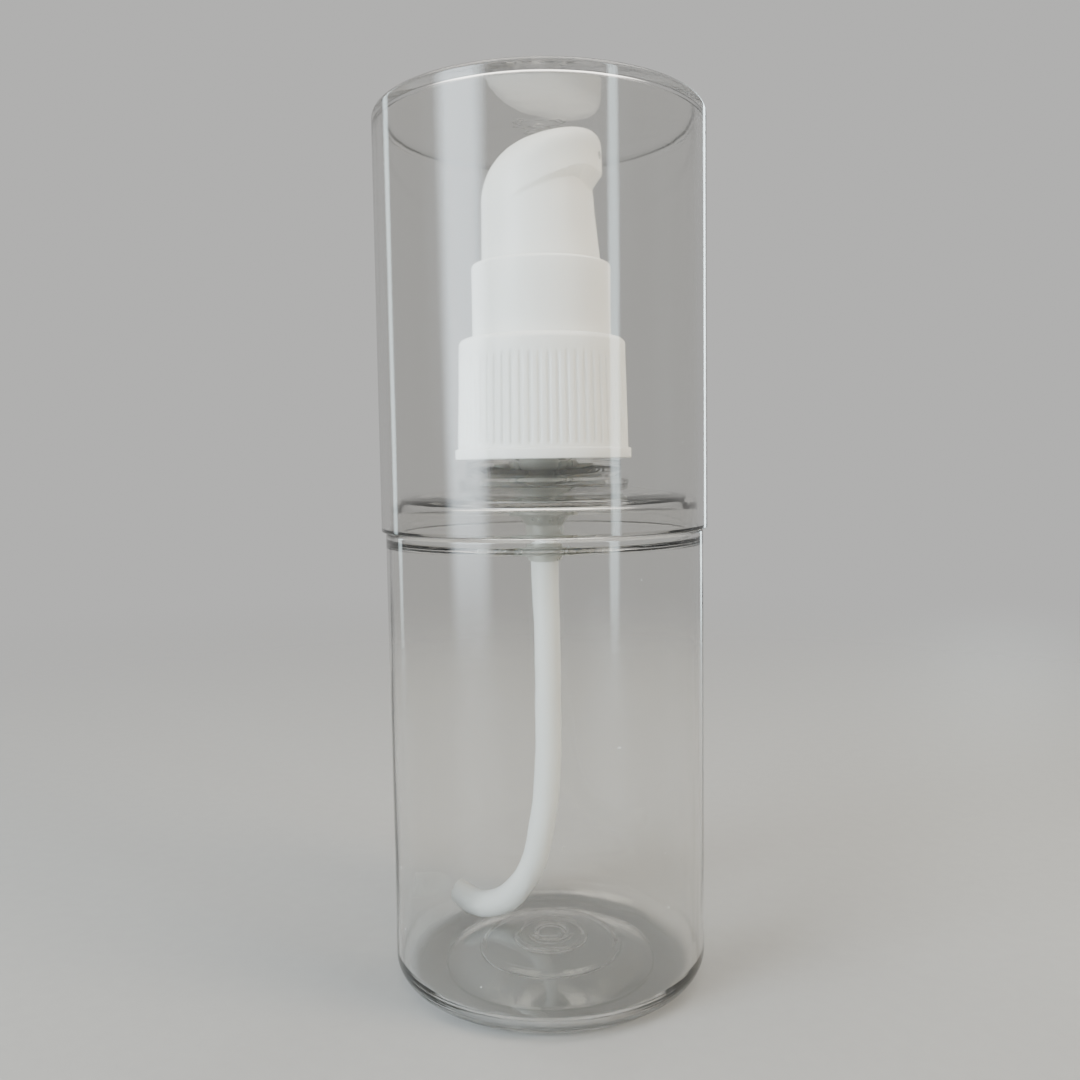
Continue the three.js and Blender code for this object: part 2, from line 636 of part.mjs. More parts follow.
function addPiece(name, geometry, material) {
  const piece = new THREE.Mesh(geometry, material);
  piece.name = name;
  bottlePump.add(piece);
}

addPiece('bottle', bottle(), clearPet());
addPiece('overcap', overcap(), clearCap());
addPiece('closure', closure(), whitePolypropylene());
addPiece('actuator', actuator(), whitePolypropylene());
addPiece('lock_ring', lockRing(), whitePolypropylene());
addPiece('stem', stem(), whitePolypropylene());
addPiece('piston_seat', pistonSeat(), whitePolypropylene());
addPiece('piston', piston(), naturalPolypropylene());
addPiece('return_spring', returnSpring(), steelWire());
addPiece('pump_housing', pumpHousing(), naturalPolypropylene());
addPiece('inlet_ball', inletBall(), steelWire());
addPiece('neck_gasket', neckGasket(), gasketFoam());
addPiece('dip_tube', dipTube(), softTube());

export default bottlePump;
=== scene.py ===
"""Looks for the clear travel bottle with its white treatment pump and clear overcap.

The CAD frame is loaded first. Every solid is then replaced by a finer mesh in the same place,
with the edge radii, ribs, threads, mould marks and procedural plastics of the real pieces.
Outlines are written in millimetres, radius first and height second, and made in metres.
"""

import math

import bpy
import numpy as np
from mathutils import Matrix, Vector


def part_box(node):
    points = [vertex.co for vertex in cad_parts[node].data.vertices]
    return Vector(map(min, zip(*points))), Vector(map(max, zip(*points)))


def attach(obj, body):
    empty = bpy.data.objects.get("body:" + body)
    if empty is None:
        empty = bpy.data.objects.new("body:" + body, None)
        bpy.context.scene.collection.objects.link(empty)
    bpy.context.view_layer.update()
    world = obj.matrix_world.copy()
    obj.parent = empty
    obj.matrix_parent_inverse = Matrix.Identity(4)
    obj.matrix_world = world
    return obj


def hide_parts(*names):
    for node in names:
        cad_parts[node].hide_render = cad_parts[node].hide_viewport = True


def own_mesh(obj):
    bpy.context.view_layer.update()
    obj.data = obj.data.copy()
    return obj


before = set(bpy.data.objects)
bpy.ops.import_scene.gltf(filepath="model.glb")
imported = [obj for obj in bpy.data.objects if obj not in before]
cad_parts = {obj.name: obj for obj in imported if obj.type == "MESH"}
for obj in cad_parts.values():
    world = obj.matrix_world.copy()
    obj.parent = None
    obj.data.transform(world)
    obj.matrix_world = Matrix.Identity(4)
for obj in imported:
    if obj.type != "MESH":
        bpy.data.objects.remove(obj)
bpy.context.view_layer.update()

MM = 0.001
TURN = 2 * math.pi


def span(node):
    """Lowest and highest corner of a CAD node, in millimetres."""
    low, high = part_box(node)
    return low / MM, high / MM


# ------------------------------------------------------------------ dimensions

BOTTLE_HIGH = span("bottle")[1]
CAP_LOW, CAP_HIGH = span("overcap")
CLOSURE_LOW, CLOSURE_HIGH = span("closure")
HEAD_LOW = span("actuator")[0]
HOUSING_LOW, HOUSING_HIGH = span("pump_housing")
GASKET_LOW, GASKET_HIGH = span("neck_gasket")
LOCK_LOW, LOCK_HIGH = span("lock_ring")
STEM_LOW, STEM_HIGH = span("stem")
SEAT_LOW, SEAT_HIGH = span("piston_seat")
PISTON_LOW = span("piston")[0]
SPRING_LOW, SPRING_HIGH = span("return_spring")
BALL_LOW, BALL_HIGH = span("inlet_ball")

# bottle
BODY_R = BOTTLE_HIGH.x
WALL = 0.8
FOOT_IN = 15.6
FOOT_OUT = 16.8
HEEL = BODY_R - FOOT_OUT
PUSH_UP = 3.5
BASE_THICK = 1.1
MOULD_RINGS = ((2.2, 0.16, 0.22), (3.0, 0.10, 0.22), (5.2, 0.12, 0.25), (10.0, 0.14, 0.3))
LEDGE_Z = 64.85
SEAT_R = 22.05
SEAT_TOP = 69.5
RING_R = 12.35
RING_TOP = 72.3
BEAD_R = 11.2
BEAD_TOP = 74.8
NECK_R = 8.8
BORE_R = 7.5
MOUTH = BOTTLE_HIGH.z

# screw thread
LEAD = 3.175
TURNS = 1.5
CREST_R = 9.95
THREAD_Z = 86.5 - TURNS * LEAD
THREAD_FADE = 0.12

# closure
RIBS = 60
RIB_DEPTH = 0.22
RIB_LOW = CLOSURE_LOW.z + 1.9
RIB_HIGH = 89.9
FLANGE_R = CLOSURE_HIGH.x
FLANGE_Z = 76.54
SKIRT_R = 12.3
SKIRT_TOP_R = 11.93
DECK_Z = 92.05
DECK_R = 1.4
DECK_UNDER = DECK_Z - 1.5
DECK_HOLE_R = 6.2
ROOT_R = 10.4
CLOSURE_CREST = 9.1
COLLAR_R = 9.95
COLLAR_IN = 8.95

# actuator; its skin is traced from HEART_Z on the axis outwards, at most REACH far
HEAD_R = 8.5
HEART_Z = 103.0
REACH = 36.0
CROWN_Z = 120.6
SPOUT_Z = 117.0
SPOUT_R = 0.6

# overcap
CAP_R = CAP_HIGH.x
CAP_IN = 22.25
CAP_PANEL = 1.2
PANEL_R = 6.0
SPLASH = 0.13

# dip tube
TUBE_R = 2.04
TUBE_BORE_R = 1.35
TUBE_SIDE = 160.0

COLUMNS = 192

# studio: lengths in metres, VIEW is the camera's angle round the bottle in degrees
AIM_Z = 0.06
FLOOR_FADE = (0.06, 0.5)
BACKDROP = 0.58
MIRRORED = 0.44
SURROUND = 0.26
VIEW = 20.0


# -------------------------------------------------------------- mesh building

def corner(points, closed=False, step=9.0):
    """Outline through (radius, height, fillet) points, with each fillet as an arc and short
    guard edges beside it, so that flat faces shade flat."""
    count = len(points)
    made = []
    for i, (r, z, fillet) in enumerate(points):
        here = np.array([r, z], float)
        if fillet <= 0 or (not closed and i in (0, count - 1)):
            made.append(here)
            continue
        back = np.array(points[i - 1][:2], float) - here
        on = np.array(points[(i + 1) % count][:2], float) - here
        room = 0.46 * min(np.linalg.norm(back), np.linalg.norm(on))
        back /= np.linalg.norm(back)
        on /= np.linalg.norm(on)
        half = math.acos(max(-1.0, min(1.0, float(back @ on)))) / 2
        if half > math.radians(88):
            made.append(here)
            continue
        reach = min(fillet / math.tan(half), room)
        radius = reach * math.tan(half)
        middle = (back + on) / np.linalg.norm(back + on)
        centre = here + middle * radius / math.sin(half)
        first = here + back * reach - centre
        last = here + on * reach - centre
        sweep = math.pi - 2 * half
        side = 1.0 if first[0] * last[1] - first[1] * last[0] > 0 else -1.0
        parts = max(3, math.ceil(math.degrees(sweep) / step))
        for k in range(parts + 1):
            a = side * sweep * k / parts
            turned = [
                first[0] * math.cos(a) - first[1] * math.sin(a),
                first[0] * math.sin(a) + first[1] * math.cos(a),
            ]
            made.append(centre + turned)
    return guard(made, closed)


def guard(points, closed, near=0.08, longest=4.0):
    """Adds points just inside the ends of every long edge, and along it."""
    made = []
    count = len(points)
    for i, here in enumerate(points):
        made.append(here)
        if i == count - 1 and not closed:
            break
        there = points[(i + 1) % count]
        length = float(np.linalg.norm(there - here))
        if length < 5 * near:
            continue
        shares = [near / length]
        pieces = max(1, math.ceil(length / longest))
        shares += [k / pieces for k in range(1, pieces)]
        shares.append(1 - near / length)
        made += [here + (there - here) * s for s in shares]
    return np.array(made)


def revolve(name, outline, closed=False, columns=COLUMNS, shape=None):
    """Solid of revolution about Z. shape(theta, r, z) may give back a new r and z for the grid."""
    outline = np.asarray(outline, float)
    theta = np.arange(columns) * TURN / columns
    low_pole = not closed and outline[0, 0] < 1e-9
    high_pole = not closed and outline[-1, 0] < 1e-9
    rows = outline[int(low_pole): len(outline) - int(high_pole)]
    r = np.repeat(rows[:, :1], columns, 1)
    z = np.repeat(rows[:, 1:], columns, 1)
    if shape is not None:
        r, z = shape(theta[None, :], r, z)
    grid = np.stack([r * np.cos(theta), r * np.sin(theta), z], -1).reshape(-1, 3)
    count = len(rows)
    ring = np.arange(columns)
    i, j = np.meshgrid(np.arange(count if closed else count - 1), ring, indexing="ij")
    here, above, side = i * columns, (i + 1) % count * columns, (j + 1) % columns
    quads = np.stack([here + j, here + side, above + side, above + j], -1)
    faces = quads.reshape(-1, 4).tolist()
    points = [grid]
    extra = len(grid)
    if low_pole:
        points.append([[0, 0, outline[0, 1]]])
        faces += np.stack([np.full(columns, extra), (ring + 1) % columns, ring], -1).tolist()
        extra += 1
    if high_pole:
        last = (count - 1) * columns + ring
        after = (count - 1) * columns + (ring + 1) % columns
        points.append([[0, 0, outline[-1, 1]]])
        faces += np.stack([np.full(columns, extra), last, after], -1).tolist()
    return mesh_object(name, np.concatenate(points), faces)


def mesh_object(name, points_mm, faces):
    mesh = bpy.data.meshes.new(name)
    mesh.from_pydata((np.asarray(points_mm) * MM).tolist(), [], faces)
    mesh.validate()
    obj = bpy.data.objects.new(name, mesh)
    bpy.context.scene.collection.objects.link(obj)
    smooth(obj)
    return obj


def smooth(obj, angle=38.0):
    obj.data.shade_smooth()
    obj.data.set_sharp_from_angle(angle=math.radians(angle))


def sweep(name, path, outer, inner=0.0, sides=32):
    """Round bar or tube along a path of points, its ends closed and their rims trimmed."""
    path = np.asarray(path, float)
    tangent = np.gradient(path, axis=0)
    tangent /= np.linalg.norm(tangent, axis=1)[:, None]
    across = np.cross(tangent[0], [0.3, 1.0, 0.2])
    frames = []
    for t in tangent:
        across = across - t * (across @ t)
        across /= np.linalg.norm(across)
        frames.append((across, np.cross(t, across)))
    angle = np.arange(sides) * TURN / sides
    last = len(path) - 1
    trimmed = outer - min(0.12, outer * 0.3)
    order = [(0, trimmed), *[(k, outer) for k in range(1, last)], (last, trimmed)]
    if inner > 0:
        order += [(k, inner) for k in range(last, -1, -1)]
    loops = []
    for k, radius in order:
        a, b = frames[k]
        loops.append(path[k] + radius * (np.cos(angle)[:, None] * a + np.sin(angle)[:, None] * b))
    points = np.concatenate(loops)
    count = len(loops)
    faces = []
    for i in range(count if inner > 0 else count - 1):
        for j in range(sides):
            n = (j + 1) % sides
            m = (i + 1) % count
            faces.append([i * sides + j, i * sides + n, m * sides + n, m * sides + j])
    if inner <= 0:
        faces.append(list(reversed(range(sides))))
        faces.append([(count - 1) * sides + j for j in range(sides)])
    return mesh_object(name, points, faces)


def catmull(points, per_span=14):
    """Centripetal Catmull-Rom curve through the points."""
    p = np.asarray(points, float)
    p = np.vstack([2 * p[0] - p[1], p, 2 * p[-1] - p[-2]])
    made = []
    for i in range(1, len(p) - 2):
        knots = [0.0]
        for k in range(3):
            knots.append(knots[-1] + max(np.linalg.norm(p[i + k] - p[i + k - 1]), 1e-9) ** 0.5)
        t0, t1, t2, t3 = knots
        for s in np.linspace(t1, t2, per_span, endpoint=False):
            a1 = (t1 - s) / (t1 - t0) * p[i - 1] + (s - t0) / (t1 - t0) * p[i]
            a2 = (t2 - s) / (t2 - t1) * p[i] + (s - t1) / (t2 - t1) * p[i + 1]
            a3 = (t3 - s) / (t3 - t2) * p[i + 1] + (s - t2) / (t3 - t2) * p[i + 2]
            b1 = (t2 - s) / (t2 - t0) * a1 + (s - t0) / (t2 - t0) * a2
            b2 = (t3 - s) / (t3 - t1) * a2 + (s - t1) / (t3 - t1) * a3
            made.append((t2 - s) / (t2 - t1) * b1 + (s - t1) / (t2 - t1) * b2)
    made.append(p[-2])
    return np.array(made)


def smoothstep(x, low, high):
    t = np.clip((x - low) / (high - low), 0, 1)
    return t * t * (3 - 2 * t)


def cut(obj, cutter):
    """Takes the cutter's volume out of obj."""
    change = obj.modifiers.new("cut", "BOOLEAN")
    change.operation = "DIFFERENCE"
    change.solver = "EXACT"
    change.object = cutter
    bpy.context.view_layer.update()
    shaped = obj.evaluated_get(bpy.context.evaluated_depsgraph_get())
    obj.data = bpy.data.meshes.new_from_object(shaped)
    obj.modifiers.clear()
    bpy.data.objects.remove(cutter)
    smooth(obj)


def place(obj, body, node, slot, *materials):
    """Gives a finished piece its material, CAD body and replaced node; slot is not used."""
    obj.data.materials.clear()
    for material in materials:
        obj.data.materials.append(material)
    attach(obj, body)
    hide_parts(node)
    return obj


# ------------------------------------------------------------------ materials

def rgba(colour, share=1.0):
    """A colour times a share, fully opaque."""
    return (*[c * share for c in colour], 1)


class Nodes:
    """Short way to write a node tree."""

    def __init__(self, name):
        self.material = bpy.data.materials.new(name)
        self.material.use_nodes = True
        self.tree = self.material.node_tree
        self.tree.nodes.clear()
        self.output = self.tree.nodes.new("ShaderNodeOutputMaterial")
        texture = self.tree.nodes.new("ShaderNodeTexCoord")
        self.place = texture.outputs["Object"]

    def add(self, kind, values=None, **settings):
        node = self.tree.nodes.new(kind)
        for key, value in settings.items():
            setattr(node, key, value)
        for key, value in (values or {}).items():
            if isinstance(value, bpy.types.NodeSocket):
                self.tree.links.new(value, node.inputs[key])
            else:
                node.inputs[key].default_value = value
        return node

    def stretched(self, x, y, z):
        """Object coordinates in millimetres, times a factor for each axis."""
        values = {0: self.place, 1: (x / MM, y / MM, z / MM)}
        return self.add("ShaderNodeVectorMath", values, operation="MULTIPLY").outputs[0]

    def noise(self, vector, scale, detail=3.0, roughness=0.5):
        values = {"Vector": vector, "Scale": scale, "Detail": detail, "Roughness": roughness}
        return self.add("ShaderNodeTexNoise", values).outputs["Fac"]

    def range(self, value, low, high, to_low, to_high):
        values = {0: value, 1: low, 2: high, 3: to_low, 4: to_high}
        return self.add("ShaderNodeMapRange", values, clamp=True).outputs[0]

    def math(self, operation, a, b):
        return self.add("ShaderNodeMath", {0: a, 1: b}, operation=operation).outputs[0]

    def mix(self, share, a, b):
        return self.add("ShaderNodeMix", {0: share, 6: a, 7: b}, data_type="RGBA").outputs[2]

    def bump(self, height, strength, distance_mm, normal=None):
        values = {"Height": height, "Strength": strength, "Distance": distance_mm * MM}
        if normal is not None:
            values["Normal"] = normal
        return self.add("ShaderNodeBump", values).outputs[0]

    def finish(self, shader):
        self.tree.links.new(shader, self.output.inputs["Surface"])
        return self.material

    def finish_clear(self, shader, passed):
        """Like finish, but lamps pass through the shader in the given colour."""
        through = self.add("ShaderNodeBsdfTransparent", {"Color": passed})
        path = self.add("ShaderNodeLightPath")
        values = {0: path.outputs["Is Shadow Ray"], 1: shader, 2: through.outputs[0]}
        return self.finish(self.add("ShaderNodeMixShader", values).outputs[0])


def clear_plastic(name, tint, ior, haze, streak, wobble):
    """Polished clear plastic: faint tint, hazy smears, fine scuffs and a slow waviness.
    Lamps pass through it, so that what stands inside is lit."""
    n = Nodes(name)
    smear = n.noise(n.stretched(0.05, 0.05, 0.02), 1.0, 4.0)
    scuff = n.noise(n.stretched(1.6, 1.6, 0.12), 1.0, 2.0)
    dust = n.add("ShaderNodeTexVoronoi", {"Vector": n.stretched(1, 1, 1), "Scale": 0.2})
    chosen = n.add("ShaderNodeSeparateColor", {0: dust.outputs["Color"]}).outputs[0]
    size = n.range(dust.outputs["Distance"], 0.02, 0.035, 1, 0)
    speck = n.math("MULTIPLY", size, n.range(chosen, 0.7, 0.72, 0, 1))
    rough = n.range(smear, 0.35, 0.75, haze * 0.4, haze * 1.6)
    rough = n.math("ADD", rough, n.math("MULTIPLY", speck, 0.4))
    wave = n.bump(n.noise(n.stretched(0.12, 0.12, streak), 1.0, 2.0), wobble, 0.5)
    normal = n.bump(scuff, 0.05, 0.04, wave)
    colour = n.mix(n.range(smear, 0.3, 0.8, 0.0, 1.0), rgba(tint), rgba(tint, 0.985))
    glass = n.add("ShaderNodeBsdfPrincipled", {
        "Base Color": colour, "Roughness": rough, "IOR": ior, "Normal": normal,
        "Transmission Weight": n.range(speck, 0, 1, 1.0, 0.35),
    })
    edge = n.add("ShaderNodeFresnel", {"IOR": ior}).outputs[0]
    return n.finish_clear(glass.outputs[0], n.mix(edge, rgba(tint, 0.98), (0.1, 0.1, 0.1, 1)))


def white_moulding(name, colour, roughness, grain=1.0):
    """Opaque polypropylene that a little light goes into, with a fine moulded grain and faint
    flow marks."""
    n = Nodes(name)
    flow = n.noise(n.stretched(0.10, 0.10, 0.035), 1.0, 3.0)
    fine = n.noise(n.stretched(7, 7, 7), 1.0, 2.0)
    tone = n.mix(n.range(flow, 0.3, 0.7, 0.0, 1.0), rgba(colour), rgba(colour, 0.965))
    rough = n.range(flow, 0.3, 0.7, roughness - 0.05, roughness + 0.06)
    normal = n.bump(fine, 0.12 * grain, 0.02, n.bump(flow, 0.08, 0.2))
    shader = n.add("ShaderNodeBsdfPrincipled", {
        "Base Color": tone, "Roughness": rough, "IOR": 1.49, "Normal": normal,
        "Subsurface Weight": 0.45, "Subsurface Radius": (1.0, 0.96, 0.9),
        "Subsurface Scale": 2.0 * MM,
    })
    return n.finish(shader.outputs[0])


def milky(name, colour, roughness, clearness):
    """Natural translucent plastic: part of the light is scattered, part comes through."""
    n = Nodes(name)
    cloud = n.noise(n.stretched(0.25, 0.25, 0.06), 1.0, 3.0)
    fine = n.noise(n.stretched(4, 4, 0.5), 1.0, 2.0)
    tone = n.mix(n.range(cloud, 0.3, 0.7, 0.0, 1.0), rgba(colour), rgba(colour, 0.95))
    rough = n.range(cloud, 0.3, 0.7, roughness - 0.05, roughness + 0.08)
    shader = n.add("ShaderNodeBsdfPrincipled", {
        "Base Color": tone, "Roughness": rough, "IOR": 1.45, "Transmission Weight": clearness,
        "Subsurface Weight": 0.35, "Subsurface Radius": (1.0, 0.97, 0.93),
        "Subsurface Scale": 1.2 * MM, "Normal": n.bump(fine, 0.08, 0.03),
    })
    return n.finish_clear(shader.outputs[0], rgba(colour, clearness))


def spring_steel(name, colour, roughness):
    """Bright drawn steel with fine marks across the wire."""
    n = Nodes(name)
    drawn = n.noise(n.stretched(0.6, 0.6, 14), 1.0, 2.0)
    shader = n.add("ShaderNodeBsdfPrincipled", {
        "Base Color": n.mix(drawn, rgba(colour), rgba(colour, 0.85)), "Metallic": 1.0,
        "Roughness": n.range(drawn, 0.3, 0.7, roughness * 0.7, roughness * 1.4),
        "Normal": n.bump(drawn, 0.1, 0.02),
    })
    return n.finish(shader.outputs[0])


def foam(name, colour):
    """Matt foam with small cells."""
    n = Nodes(name)
    cells = n.add("ShaderNodeTexVoronoi", {"Vector": n.stretched(1, 1, 1), "Scale": 5.0})
    cell = cells.outputs["Distance"]
    tone = n.mix(n.range(cell, 0.1, 0.6, 0, 1), rgba(colour, 0.9), rgba(colour))
    shader = n.add("ShaderNodeBsdfPrincipled", {
        "Base Color": tone, "Roughness": 0.85, "Normal": n.bump(cell, 0.3, 0.05),
    })
    return n.finish(shader.outputs[0])


# --------------------------------------------------------------------- bottle

def ridge(z, theta, bottom, wide, narrow):
    """Height of a right-hand thread, from 0 at its root to 1 at its crest, faded out at both
    ends."""
    along = theta / TURN
    height = np.zeros(np.broadcast(z, theta).shape)
    for lap in range(-1, int(TURNS) + 2):
        turn = along + lap
        gap = np.abs(z - (bottom + turn * LEAD))
        tooth = 1 - smoothstep(gap, narrow / 2, wide / 2)
        start = smoothstep(turn, 0.0, THREAD_FADE)
        end = smoothstep(turn, TURNS - THREAD_FADE, TURNS)
        height = np.maximum(height, tooth * (start * (1 - end)))
    return height


def base_crown(thick):
    """The pushed-up base from its centre to the foot, with the fine rings the mould leaves."""
    r = np.linspace(0, FOOT_IN, 79)
    z = (PUSH_UP + thick) * (1 - (r / FOOT_IN) ** 2) + thick * (r / FOOT_IN) ** 2
    for radius, height, width in MOULD_RINGS:
        z = z + height * np.exp(-((r - radius) / width) ** 2) * (1 if thick else -1)
    return np.stack([r, z], -1)


def make_bottle():
    ring_low = RING_TOP - 1.1
    outside = corner([
        (FOOT_IN + 0.01, 0, 0), (BODY_R, 0, HEEL), (BODY_R, LEDGE_Z, 0.85),
        (SEAT_R, LEDGE_Z, 0.12), (SEAT_R, SEAT_TOP, 1.5), (RING_R + 4.2, SEAT_TOP + 0.95, 9.0),
        (RING_R - 0.2, ring_low, 0.5), (RING_R, ring_low + 0.3, 0.25),
        (RING_R, RING_TOP - 0.05, 0.3), (BEAD_R, RING_TOP, 0.2), (BEAD_R, BEAD_TOP, 0.3),
        (NECK_R, BEAD_TOP, 0.3), (NECK_R, 77.0, 0),
    ])
    neck = np.stack([np.full(72, NECK_R), np.linspace(77.15, 87.8, 72)], -1)
    inside = corner([
        (NECK_R, 87.95, 0), (NECK_R, MOUTH, 0.25), (BORE_R, MOUTH, 0.25),
        (BORE_R, BEAD_TOP - 0.8, 1.5), (BORE_R + 2.8, ring_low - 0.6, 2.5),
        (RING_R + 4.2, SEAT_TOP - 0.35, 6.0),
        (SEAT_R - WALL, SEAT_TOP - WALL, 0.9), (SEAT_R - WALL, LEDGE_Z - 0.9, 0.4),
        (BODY_R - WALL, LEDGE_Z - 1.9, 0.5), (BODY_R - WALL, BASE_THICK, HEEL - WALL),
        (FOOT_IN + 0.01, BASE_THICK, 0),
    ])
    under, floor = base_crown(0.0), base_crown(BASE_THICK)[::-1]
    outline = np.concatenate([under, outside, neck, inside, floor])

    def shape(theta, r, z):
        on_neck = (r > NECK_R - 0.05) & (r < NECK_R + 0.05) & (z > 77)
        r = r + (CREST_R - NECK_R) * ridge(z, theta, THREAD_Z, 1.3, 0.5) * on_neck
        blown = (r > BODY_R - WALL - 0.05) & (r < BODY_R - WALL + 0.05)
        fade = smoothstep(z, 8, 16) * (1 - smoothstep(z, 56, 62))
        wave = 0.5 * np.sin(5 * theta + 0.6 + 0.02 * z) + 0.3 * np.sin(11 * theta + 2.1)
        wave = wave + 0.2 * np.sin(17 * theta + 0.3 - 0.03 * z)
        return r + 0.07 * blown * fade * wave, z

    bottle = revolve("bottle_shell", outline, shape=shape, columns=256)
    tint = (0.955, 0.95, 0.935)
    material = clear_plastic("clear_bottle_plastic", tint, 1.54, 0.035, 0.02, 0.22)
    return place(bottle, "bottle", "bottle", "clear_bottle", material)


# -------------------------------------------------------------------- overcap

def make_overcap():
    top, roof, crater = CAP_HIGH.z, CAP_HIGH.z - CAP_PANEL, CAP_HIGH.z - 0.35
    panel = [(r, top) for r in np.arange(PANEL_R, 2.1, -0.12)]
    gate = [(1.6, crater), (0.75, crater), (0.62, top - 0.1), (0.45, top - 0.04), (0, top - 0.02)]
    walls = corner([
        (0, roof, 0), (CAP_IN - 0.05, roof, 0.9), (CAP_IN, CAP_LOW.z + 0.5, 0.3),
        (CAP_IN + 0.3, CAP_LOW.z, 0.15), (CAP_R, CAP_LOW.z, 0.25), (CAP_R, top, 0.8),
        (PANEL_R + 0.1, top, 0),
    ])
    outline = np.concatenate([walls, np.array(panel + gate, float)])

    def shape(theta, r, z):
        """Sinks a wobbly star into the panel, where the melt splashed around its gate."""
        star = 2.9 + 0.75 * np.cos(3 * theta + 0.5) + 0.45 * np.cos(7 * theta + 2.0)
        star = star + 0.2 * np.cos(13 * theta)
        splash = np.exp(-((r - star) / 0.22) ** 2) + 0.6 * np.exp(-((r - 0.8 * star) / 0.18) ** 2)
        on_panel = (z > top - 0.001) & (r < PANEL_R)
        return r, z - SPLASH * splash * on_panel

    cap = revolve("overcap_shell", outline, shape=shape)
    tint = (0.95, 0.945, 0.93)
    material = clear_plastic("clear_cap_plastic", tint, 1.5, 0.05, 0.012, 0.10)
    return place(cap, "overcap", "overcap", "clear_cap", material)


# ---------------------------------------------------------- closure and collar

def make_closure():
    low, high = CLOSURE_LOW.z, CLOSURE_HIGH.z
    outline = corner([
        (ROOT_R + 0.5, low, 0.1), (FLANGE_R, low, 0.2), (FLANGE_R, FLANGE_Z, 0.22),
        (SKIRT_R, FLANGE_Z + 0.05, 0.15), (SKIRT_R - 0.02, RIB_LOW - 0.3, 0),
        (SKIRT_TOP_R, RIB_HIGH + 0.3, 0), (SKIRT_TOP_R - 0.05, DECK_Z, DECK_R),
        (COLLAR_R, DECK_Z, 0.25), (COLLAR_R, high, 0.55), (COLLAR_IN, high, 0.2),
        (COLLAR_IN, DECK_Z, 0.3), (DECK_HOLE_R, DECK_Z, 0.2), (DECK_HOLE_R, DECK_UNDER, 0.2),
        (ROOT_R, DECK_UNDER, 0.3), (ROOT_R, low + 0.5, 0.2),
    ], closed=True)
    outline = refine(outline, longest=0.28, low=RIB_LOW - 1, high=DECK_UNDER, r_low=ROOT_R - 0.1)

    def shape(theta, r, z):
        skirt = r > SKIRT_TOP_R - 0.5
        reach = smoothstep(z, RIB_LOW, RIB_LOW + 0.35)
        reach = reach * (1 - smoothstep(z, RIB_HIGH - 1.6, RIB_HIGH))
        wave = 0.5 + 0.5 * np.cos(RIBS * theta)
        groove = smoothstep(wave, 0.45, 0.98)
        r = r - RIB_DEPTH * groove * reach * skirt
        inside = (np.abs(r - ROOT_R) < 0.02) & (z < DECK_UNDER - 0.4) & (z > low + 0.6)
        thread = ridge(z, theta, THREAD_Z - LEAD / 2, 1.1, 0.4)
        return r - (ROOT_R - CLOSURE_CREST) * thread * inside, z

    closure = revolve("ribbed_closure", outline, closed=True, columns=RIBS * 10, shape=shape)
    return place(closure, "closure", "closure", "white_pp", WHITE)


def refine(outline, longest, low, high, r_low):
    """Splits a closed outline's edges between two heights so that none is longer than longest."""
    made = []
    for i, here in enumerate(outline):
        made.append(here)
        there = outline[(i + 1) % len(outline)]
        middle = (here + there) / 2
        length = float(np.linalg.norm(there - here))
        if low < middle[1] < high and middle[0] > r_low and length > longest:
            pieces = math.ceil(length / longest)
            made += [here + (there - here) * k / pieces for k in range(1, pieces)]
    return np.array(made)


# ------------------------------------------------------------------- actuator

def soft_max(a, b, rounding):
    blend = np.maximum(rounding - np.abs(a - b), 0) / rounding
    return np.maximum(a, b) + blend * blend * rounding / 4


def head_wall(cosine, z):
    """Side wall of the head: a barrel that leans in under a sloping lip, with a beak above it."""
    front = np.maximum(cosine, 0)
    lip = 111.4 + 3.8 * cosine
    depth = 0.9 + 2.1 * front ** 12
    above = smoothstep(z, lip - depth, lip)
    lean = np.clip((z - HEART_Z) / (lip - depth - HEART_Z), 0, 1)
    recess = 0.95 * ((1 + cosine) / 2) ** 3 * lean * (1 - above)
    return HEAD_R - 0.012 * (z - HEART_Z) - recess + 0.62 * front ** 6 * above


def head_field(x, y, z):
    radius = np.hypot(x, y)
    cosine = np.where(radius > 1e-9, x / np.maximum(radius, 1e-9), 0)
    side = radius - head_wall(cosine, z)
    top = z - (CROWN_Z - 0.023 * (x - 5.8) ** 2 - 0.03 * y * y)
    front = smoothstep(x, -HEAD_R, HEAD_R)
    return soft_max(side, top, 5.0 + (2.2 - 5.0) * front)


